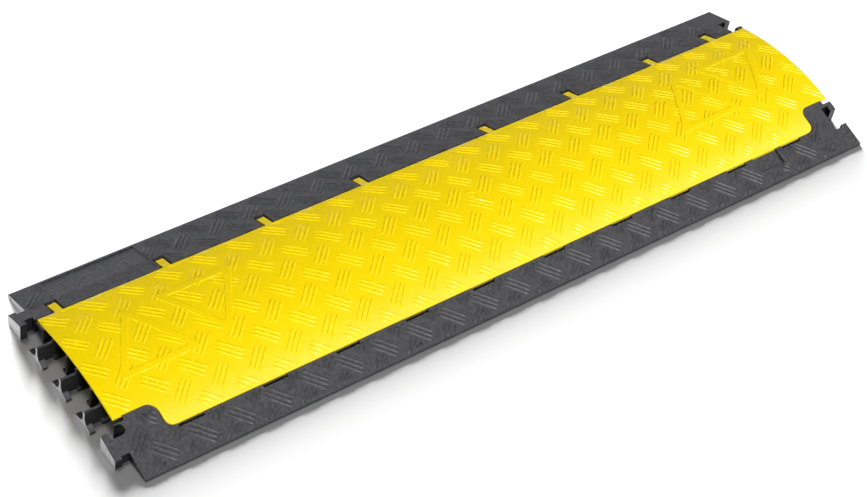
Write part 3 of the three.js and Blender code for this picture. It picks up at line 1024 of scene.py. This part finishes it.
def make_floor():
    mesh = bmesh.new()
    bmesh.ops.create_grid(mesh, x_segments=1, y_segments=1, size=FLOOR_SIZE / 2)
    bmesh.ops.translate(mesh, vec=(0, 0, -FLOOR_DROP), verts=mesh.verts)
    floor = object_from(mesh, "floor")
    material, _, shader = new_material("floor_paper")
    shader.inputs["Base Color"].default_value = PAPER_WHITE
    shader.inputs["Roughness"].default_value = 0.9
    shader.inputs["Specular IOR Level"].default_value = 0.1
    floor.data.materials.append(material)
    floor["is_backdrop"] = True
    return floor


floor = make_floor()
print("floor:", FLOOR_SIZE, "m square")

# %% [markdown]
# The key light is a wide sun from the near side, which lights lid and ramps evenly. A long narrow soft box
# hangs above the right half: its reflection is the glare along the lid's near edge. A low box at the left
# end lights the faces that look that way. A box behind the cover is for the far ramp, and it is kept out of
# reflections, so that the dark plastic stays dull. The world is dim and darkest overhead, so that the top of
# the arch and the tread keep their contrast. Its greys are given as height and level.

# %% Lights
WORLD_GREYS = ((0.0, 0.3), (0.12, 0.27), (0.45, 0.1), (1.0, 0.05))
KEY_FROM = Vector((-0.08, -0.8, 0.72))
KEY_SPREAD = math.radians(12)


def soft_box(name, spot, aim, size, power):
    data = bpy.data.lights.new(name, "AREA")
    data.shape = "RECTANGLE"
    data.size, data.size_y = size
    data.energy = power
    light = bpy.data.objects.new(name, data)
    light.location = spot
    light.rotation_euler = (Vector(aim) - Vector(spot)).to_track_quat("-Z", "Y").to_euler()
    bpy.context.scene.collection.objects.link(light)
    return light


def sun(name, source, spread, strength):
    data = bpy.data.lights.new(name, "SUN")
    data.angle = spread
    data.energy = strength
    light = bpy.data.objects.new(name, data)
    light.rotation_euler = (-source).to_track_quat("-Z", "Y").to_euler()
    bpy.context.scene.collection.objects.link(light)
    return light


def make_world():
    """A studio whose walls are a dim grey and whose ceiling is nearly black."""
    world = bpy.data.worlds.new("studio")
    world.use_nodes = True
    tree = world.node_tree
    direction = tree.nodes.new("ShaderNodeTexCoord")
    height = tree.nodes.new("ShaderNodeSeparateXYZ")
    greys = tree.nodes.new("ShaderNodeValToRGB")
    elements = greys.color_ramp.elements
    while len(elements) < len(WORLD_GREYS):
        elements.new(0.5)
    for element, (position, level) in zip(elements, WORLD_GREYS):
        element.position = position
        element.color = (*grey(level), 1)
    tree.links.new(direction.outputs["Generated"], height.inputs["Vector"])
    tree.links.new(height.outputs["Z"], greys.inputs["Fac"])
    tree.links.new(greys.outputs["Color"], tree.nodes["Background"].inputs["Color"])
    bpy.context.scene.world = world


make_world()
key = sun("key_sun", KEY_FROM, KEY_SPREAD, strength=3.1)
glare_box = soft_box("glare_box", spot=(1.0, -0.32, 1.75), aim=(1.0, -0.1, 0), size=(3.2, 0.4), power=14)
left_box = soft_box("low_left_box", spot=(-1.9, 0.35, 0.3), aim=(-0.5, 0, 0), size=(1.2, 0.4), power=6)
far_box = soft_box("far_box", spot=(-0.1, 2.2, 1.0), aim=(0, 0, 0), size=(2.0, 0.6), power=60)
far_box.visible_glossy = False
print("lights on the cover:", key.name, glare_box.name, left_box.name, far_box.name)

# %% [markdown]
# A cover this low hardly shades the floor under a high light, and the wide soft shadow on its near side and
# at its left end needs a low light from the far side. A weak second sun fills the floor around it. Light
# linking keeps both on the floor alone, and keeps the lights above off it, so that the cover and the floor
# are each lit as they should be. The box behind the cover lights the base only.

# %% The floor's own light
LOW_SUN_FROM = Vector((0.3, 0.95, 0.26))
FILL_SUN_FROM = Vector((0, 0.3, 1))
FLOOR_SUN_SPREAD = math.radians(20)


def light_only(light, *receivers):
    group = bpy.data.collections.new("lit_by_" + light.name)
    for receiver in receivers:
        group.objects.link(receiver)
    light.light_linking.receiver_collection = group


low_sun = sun("low_sun", LOW_SUN_FROM, FLOOR_SUN_SPREAD, strength=14.0)
fill_sun = sun("fill_sun", FILL_SUN_FROM, FLOOR_SUN_SPREAD, strength=0.45)
for lamp in (low_sun, fill_sun):
    light_only(lamp, floor)
for lamp in (key, glare_box, left_box):
    light_only(lamp, base, lid)
light_only(far_box, base)
bpy.context.scene.view_settings.view_transform = "Standard"
print("lights on the floor:", low_sun.name, fill_sun.name)

# %% [markdown]
# Last, the box of what is shown is compared with the CAD box. The tread may stand a little proud of the
# crown, and nothing else may grow.

# %% Size
shown_low, shown_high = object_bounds()
grown = [round((high - low) / MM, 2) for low, high in zip(cad_high, shown_high)]
print("grown by", grown, "mm along, across and upwards")
